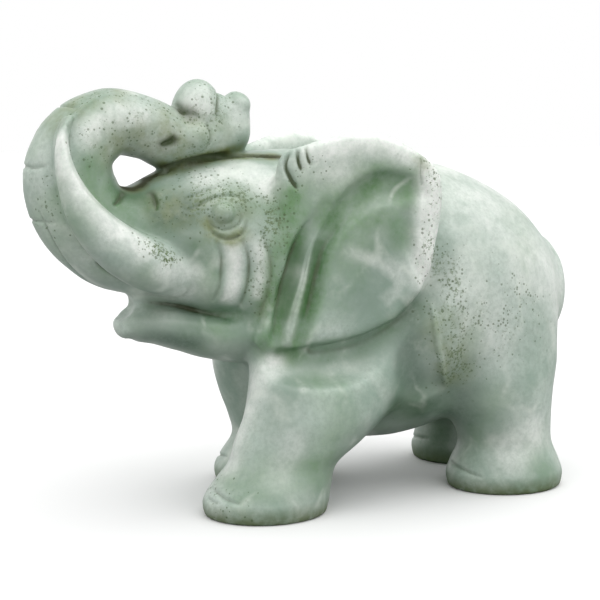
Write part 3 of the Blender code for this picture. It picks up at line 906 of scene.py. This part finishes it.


# Where the stone is hollow, for the painted shade of deeper green and for the dirt, and where it is closed in, for
# painted
# shade: how far round a point is looked at, in millimetres, and the share of stone there that is none of it and
# all of it.
filled = np.clip(0.5 - stone / GRAIN, 0, 1)
for name, radius, low, high in (
    ("hollow", 2.6, 0.53, 0.80),
    ("crevice", 0.9, 0.57, 0.78),
    ("shelter", 6.5, 0.44, 0.72),
):
    value = np.clip((at_spots(blurred(filled, radius)) - low) / (high - low), 0, 1)
    finished.attributes.new(name, "FLOAT", "POINT").data.foreach_set("value", value.astype(np.float32))

# Patches of the stone's colour and of painted shade, each (radius in mm, strength, points it follows), laid on
# both sides of the figure.
PATCHES = {
    # green patches: the stone's green, and painted shade along the bottoms of the folds and under the ear
    "green_and_fold_shade": [
        (4.2, 0.75, [(6.6, -43.6, 73), (9, -46.2, 70.5), (11, -48, 65.5)]),
        (4.6, 0.9, [(9, -44, 66.5), (9, -40, 64), (9.5, -35, 62.5)]),
        (5.4, 0.9, [(23.2, 13, 67), (21.6, 7, 67.6), (20.4, 2.4, 65), (19.4, -1.6, 60)]),
        (2.5, 1, [(19.4, -1.6, 58.8), (18.8, -4.2, 52), (18.4, -6, 45), (18.1, -8, 38),
            (17.8, -9, 35)]),
        (4.6, 0.85, [(17.6, -9.6, 64), (17.4, -10.6, 58), (17, -11.6, 52), (16.4, -12.8, 46),
            (16, -13.6, 38), (15.6, -14, 35)]),
        (2.2, 1.1, [(18.1, -8.2, 58), (17.4, -10.4, 51), (16.8, -11.9, 45), (16.5, -13, 38)]),
        (5, 0.42, [(17.5, -8, 67.4), (19.6, -1, 69.6), (21.5, 7.7, 70.6)]),
        (3, 0.7, [(13.4, -28.4, 55), (13.2, -26.6, 49), (12, -25.6, 44)]),
        (2.6, 1.3, [(16, -12, 32.6), (19, -6, 32.6), (20.4, 0.6, 33), (21.5, 6.5, 34.6),
            (22.6, 12, 37.6), (23, 16, 41)]),
        (5, 0.55, [(18, -6, 25), (21, -2, 20), (21, -8, 12)]),
        (5, 0.5, [(10, -20, 38), (10, -28, 38)]),
        (4, 0.7, [(20, 3, 60), (21.6, 9, 60), (22.4, 12, 57)]),
        (5, 0.4, [(22, 34, 20), (20, 30, 12)]),
    ],
    "milky": [
        (4.2, 1.3, [(18.6, -4, 75), (20.4, 3, 77), (22, 9, 76.6), (23.4, 14, 74.6)]),
        (4.2, 0.6, [(19.4, -3.6, 70.6), (20.6, 1.6, 70.6)]),
        (3.4, 1.5, [(24.6, 18.6, 71), (25, 18.6, 66), (25, 17.8, 60), (24.8, 17.2, 54),
            (24.2, 17.6, 48)]),
        (3.6, 0.85, [(8.4, -48.7, 77.5), (8, -43.5, 80.8), (7.2, -38.1, 81.2)]),
        (3, 1.15, [(14, -40.5, 55.5), (13.5, -46, 59.8), (12.6, -51, 65.4), (11.8, -54, 71),
            (10.6, -54.8, 76)]),
        (3, 0.7, [(14, -36, 51), (13.2, -29, 49.4)]),
        (1.7, 1.1, [(14.7, -21.8, 55.2), (14.8, -21, 51), (14.2, -21.2, 47), (13, -22, 43.6)]),
        (1.5, 1, [(15.8, -16.6, 55), (15.4, -16, 50), (14.6, -16.4, 45.6)]),
        (2.8, 0.75, [(8, -25, 69), (8.6, -20.7, 69.6), (10.5, -16, 69)]),
        (3.6, 0.95, [(10.5, -15, 69), (13.3, -12.9, 67.2)]),
        (13, 0.7, [(16, 36, 62)]),
        (12, 0.7, [(8, 20, 74), (6, 32, 73), (8, 44, 66)]),
        (9, 0.8, [(22, 46, 50), (18, 54, 44)]),
        (7, 0.5, [(24, 26, 46), (24, 33, 36)]),
        (1.3, 0.45, [(18.6, -6.2, 52), (18.1, -8.6, 45), (17.6, -10.2, 38), (17.2, -10.8, 35)]),
        (3, 0.9, [(15.6, -13, 31), (14.6, -16.4, 27), (13.4, -18.6, 18), (14, -21, 10)]),
        (3, 0.4, [(22.6, -12, 16), (22, -15, 9)]),
        (5, 0.8, [(23, 44, 13), (22, 40, 9)]),
        (1.2, 0.6, [(20, 2, 53.4), (21.6, 6.4, 51.6), (22.4, 10, 49.6), (22.8, 12.4, 47)]),
        (1.1, 0.5, [(22.8, 12.4, 50), (22.6, 11.6, 46), (22, 9.6, 43.4)]),
        (4.2, 0.95, [(4.5, -25, 83)]),
        (3.4, 0.5, [(4.5, -17, 82)]),
        (3.8, 0.5, [(8, -34, 44.5), (11, -30, 46), (11.6, -27, 46.4)]),
        (3.4, 0.2, [(10.4, -23, 34.2), (10.2, -19.4, 33)]),
        (5, 0.24, [(3.7, -58.4, 73), (4.8, -58.2, 67.6), (5.2, -56.1, 59.8), (5.6, -50.3, 52.4)]),
        (4, 0.55, [(7.8, -44, 75.6), (6.4, -40, 75.8), (5, -36, 74.4)]),
        (3, 0.3, [(6.6, -33.4, 79), (6.6, -30, 77)]),
    ],
    "mossy": [
        (4.4, 0.6, [(23, 22, 37), (22.4, 24, 32), (21.6, 25.6, 27.6)]),
        (4.2, 1, [(5, -31, 75), (4, -33, 79)]),
        (3, 0.5, [(4, -27, 80), (6, -24, 77), (4, -20, 78)]),
        (2, 0.7, [(24, 16, 71.4)]),
        (2, 1.5, [(3, -35.6, 67.4), (3.2, -32, 70.2), (4.4, -27.5, 71.8), (4, -22, 72.7),
            (4.4, -15, 72.9), (6, -9.4, 72.6)]),
        (1.9, 1.4, [(2.9, -40, 66.6), (3.1, -38, 66.5), (3.5, -36, 67.3), (1.7, -33.8, 68.8)]),
        (2.6, 1.1, [(6.8, -30.9, 75.8)]),
        (4.4, 0.55, [(13.6, -25.4, 61), (13.6, -20.6, 62.4)]),
        (1.7, 1.1, [(13.2, -26.8, 60), (14, -24.9, 57.2), (14.8, -22.2, 56.4), (15.2, -19.7, 57.6)]),
        (4.2, 0.7, [(9.6, -34, 63.4), (10.4, -32, 62.4), (11.6, -27.6, 63)]),
        (4, 0.6, [(4, -54, 80), (4, -49, 83.6), (3.4, -42, 85.4)]),
        (4.4, 0.7, [(5.6, -32, 77.5), (5.6, -38, 76), (6.4, -43, 75)]),
        (1.6, 0.7, [(15.2, -13.6, 52), (14.4, -13.8, 46), (13.4, -14.4, 41)]),
    ],
    "pitted": [
        (5.4, 1.15, [(23.2, 21, 50), (24, 23.6, 44), (23, 23.6, 36), (21.6, 25.6, 28)]),
        (7, 0.7, [(24, 28, 42), (24, 33, 36), (23.6, 40, 40)]),
        (4.4, 1.1, [(12, -24.6, 65.6), (14.3, -17.7, 64.4), (15.7, -13.9, 62), (16, -13, 57)]),
        (2.4, 1.5, [(14, -39.4, 57), (14.2, -36.8, 55.6), (14.2, -34.6, 53.4)]),
        (2.6, 0.9, [(24.4, 17.4, 71), (24.9, 18.8, 65), (24.8, 17.8, 59.8), (24.8, 17.4, 54)]),
        (5, 0.7, [(5.2, -33.4, 83), (5, -40, 84.4), (4, -47, 84)]),
        (6, 0.9, [(3, -22, 84), (5, -27, 76)]),
        (6, 0.6, [(7, -47, 76), (6, -38, 78)]),
        (5, 0.75, [(12, -22, 62), (9, -26, 69)]),
        (4.6, 1.1, [(10, -32, 62), (12, -28, 65)]),
        (3.6, 0.7, [(16.2, -15.4, 54), (15, -15.4, 46)]),
        (4.6, 0.5, [(20, -24, 5), (12, -26, 5)]),
        (5, 0.4, [(6, -58, 66), (7, -56, 60)]),
        (4, 0.5, [(18.6, -6, 70), (17.6, -9, 64)]),
    ],
    "dusty": [
        (1.4, 1.6, [(1.6, -41, 66.8), (2.9, -39, 66.5), (3.2, -36.6, 66.9), (1.7, -33.8, 68.6)]),
        (1.3, 1.6, [(1.2, -35, 68.4), (3.3, -30.1, 70.8), (4.4, -27.7, 71.6), (4.4, -24.2, 72.3)]),
        (1.1, 1.5, [(4.4, -24.2, 72.3), (3.9, -19.8, 72.7), (4.2, -15.4, 72.8), (5.2, -12, 72.7),
            (6.7, -8, 72.4)]),
        (1.3, 1.1, [(6.4, -32.8, 74.9), (6.6, -31, 76)]),
        (0.8, 0.8, [(5.3, -41.2, 65.7), (7.3, -42.7, 64.4)]),
        (0.8, 0.8, [(6.7, -35.8, 65.6), (8.5, -35.6, 63.9)]),
        (1.6, 0.7, [(2, -28.4, 82.6), (4.7, -26.4, 81.2)]),
        (1.6, 0.8, [(7.6, -33.6, 43.4), (6.6, -36.4, 43.6)]),
    ],
    # painted shade: darkest green in the deep folds, between the legs and on the hind feet
    "shady": [
        (1.9, 0.85, [(16.6, -9, 54), (16.1, -9.7, 50), (15.9, -10.4, 46), (16.2, -11.2, 41)]),
        (1.5, 0.6, [(17.6, -4.2, 55), (17.4, -5.6, 48), (17.2, -7.2, 41)]),
        (1.4, 0.9, [(16, -12, 33.6), (19, -4, 33.2), (20, 3, 34), (21.4, 10, 36.8), (22.4, 15, 40.4)]),
        (5, 0.5, [(17, 13, 20.5), (15.8, 19, 18.6)]),
        (7, 0.75, [(9, 36, 3), (9.6, 38, 8)]),
        (1.8, 0.6, [(6.4, -40.6, 66), (8.4, -36, 63.4)]),
    ],
    # painted shade: grey-green on the jaw, flank, legs and brow, where shade falls
    "painted_shade": [
        (5, 0.5, [(20.3, -11.7, 26.3), (21.6, -13.4, 20.5), (23.1, -13, 14.7)]),
        (6, 0.4, [(22, 36, 22), (22, 38, 10)]),
        (5, 0.4, [(20, -18, 6), (22, -8, 6)]),
        (5.5, 0.85, [(9, -36, 38), (10, -29, 37)]),
        (4.5, 0.3, [(11, -21, 36.6), (11, -14, 37)]),
        (5, 0.9, [(18, 12, 21), (17.5, 17, 20), (17, 22, 19)]),
        (4.2, 1, [(23.2, 15.6, 40), (22.4, 15.4, 35), (21.2, 15.6, 30), (20, 17.4, 25)]),
        (4.6, 1.5, [(9.6, -34, 61.6), (10.8, -30, 62.6)]),
        (6, 0.9, [(21, 27, 26), (20, 30, 22), (18, 30, 17)]),
        (6, 0.45, [(22, 6, 44), (22.4, 10, 55)]),
        (3, 0.5, [(12.6, -26, 42), (10, -33, 43)]),
        (5, 0.2, [(13.4, -33, 47.6), (12.6, -42, 49)]),
        (4, 0.5, [(12.6, -32, 57.6), (12.8, -29, 55)]),
    ],
}
for name, patches in PATCHES.items():
    total = np.zeros(len(spots), np.float32)
    for radius, strength, route in patches:
        for x, y, z in curve_through(route, 5) if len(route) > 1 else route:
            for side, back in ((1, 0.0), (-1, RIGHT_EAR_BACK if y > -15 else 0.0)):
                away = ((spots - np.array((side * x, y + back, z), np.float32)) ** 2).sum(1)
                total = np.maximum(total, strength * np.exp(-((away / radius**2) ** 1.3)))
    finished.attributes.new(name, "FLOAT", "POINT").data.foreach_set("value", total)
# the brown rim of the soles, and the faces that are turned down, which get painted shade
RIM_FULL, RIM_FADE, RIM_STRENGTH = 0.7, 3.2, 0.85
wear = np.clip(1 - (spots[:, 2] - RIM_FULL) / RIM_FADE, 0, 1)
facing = np.empty(len(spots) * 3, np.float32)
finished.vertex_normals.foreach_get("vector", facing)
under = np.clip(-facing[2::3] - 0.1, 0, 1) * np.clip(spots[:, 2] / 4 - 0.3, 0, 1)
finished.attributes.new("under", "FLOAT", "POINT").data.foreach_set("value", under.astype(np.float32))
finished.attributes.new("foot", "FLOAT", "POINT").data.foreach_set("value", wear.astype(np.float32) * RIM_STRENGTH)

spots[:, 1] -= MIDDLE_Y
finished.vertices.foreach_set("co", (spots / 1000).ravel())
finished.shade_smooth()
finished.update()

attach(elephant, "root")
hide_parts("elephant_carving")


# ------------------------------
# The studio
# A flat sheet of matt white paper under one wide soft light, in a pale room. The paper and the room light
# the stone less brightly than they look, which keeps the underside of the belly in shade.
# ------------------------------
sheet = bpy.data.meshes.new("white_sheet")
sheet.from_pydata([(-3, -3, 0), (3, -3, 0), (3, 3, 0), (-3, 3, 0)], [], [(0, 1, 2, 3)])
floor = bpy.data.objects.new("white_sheet", sheet)
bpy.context.scene.collection.objects.link(floor)
paper = bpy.data.materials.new("matt_white_paper")
paper.use_nodes = True
seen = add(paper.node_tree, "ShaderNodeLightPath", out="Is Camera Ray")
shades = {0: seen, 6: linear("#aaaaaa"), 7: linear("#f4f4f4")}
white = add(paper.node_tree, "ShaderNodeMix", shades, out=2, data_type="RGBA")
paper.node_tree.links.new(white, paper.node_tree.nodes["Principled BSDF"].inputs["Base Color"])
paper.node_tree.nodes["Principled BSDF"].inputs["Roughness"].default_value = 0.9
sheet.materials.append(paper)

ROOM_LIGHT = 0.95
OVERHEAD_LIGHT = 1.3
world = bpy.data.worlds.new("soft_room")
world.use_nodes = True
room = world.node_tree
seen = add(room, "ShaderNodeLightPath", out="Is Camera Ray")
strength = add(room, "ShaderNodeMapRange", {"Value": seen, "To Min": ROOM_LIGHT, "To Max": 1.0})
room.links.new(strength, room.nodes["Background"].inputs["Strength"])
room.nodes["Background"].inputs["Color"].default_value = (1, 1, 1, 1)
bpy.context.scene.world = world

sun = bpy.data.lights.new("overhead_diffuser", "SUN")
sun.energy = OVERHEAD_LIGHT
sun.angle = math.radians(75)
overhead = bpy.data.objects.new("overhead_diffuser", sun)
overhead.rotation_euler = (math.radians(-8), math.radians(12), 0)
bpy.context.scene.collection.objects.link(overhead)

AZIMUTH, ELEVATION = math.radians(65), math.radians(7)
TARGET = np.array((0.0, -MIDDLE_Y / 1000, 0.0416))
DISTANCE = 0.320
toward = np.array((
    math.sin(AZIMUTH) * math.cos(ELEVATION),
    -math.cos(AZIMUTH) * math.cos(ELEVATION),
    math.sin(ELEVATION),
))
lens = bpy.data.cameras.new("camera")
lens.lens = 89.28
lens.sensor_width = 36
lens.clip_start = 0.01
camera = bpy.data.objects.new("camera", lens)
camera.location = TARGET + toward * DISTANCE
camera.rotation_euler = Vector(-toward).to_track_quat("-Z", "Y").to_euler()
bpy.context.scene.collection.objects.link(camera)
bpy.context.scene.camera = camera
bpy.context.scene.view_settings.view_transform = "Standard"
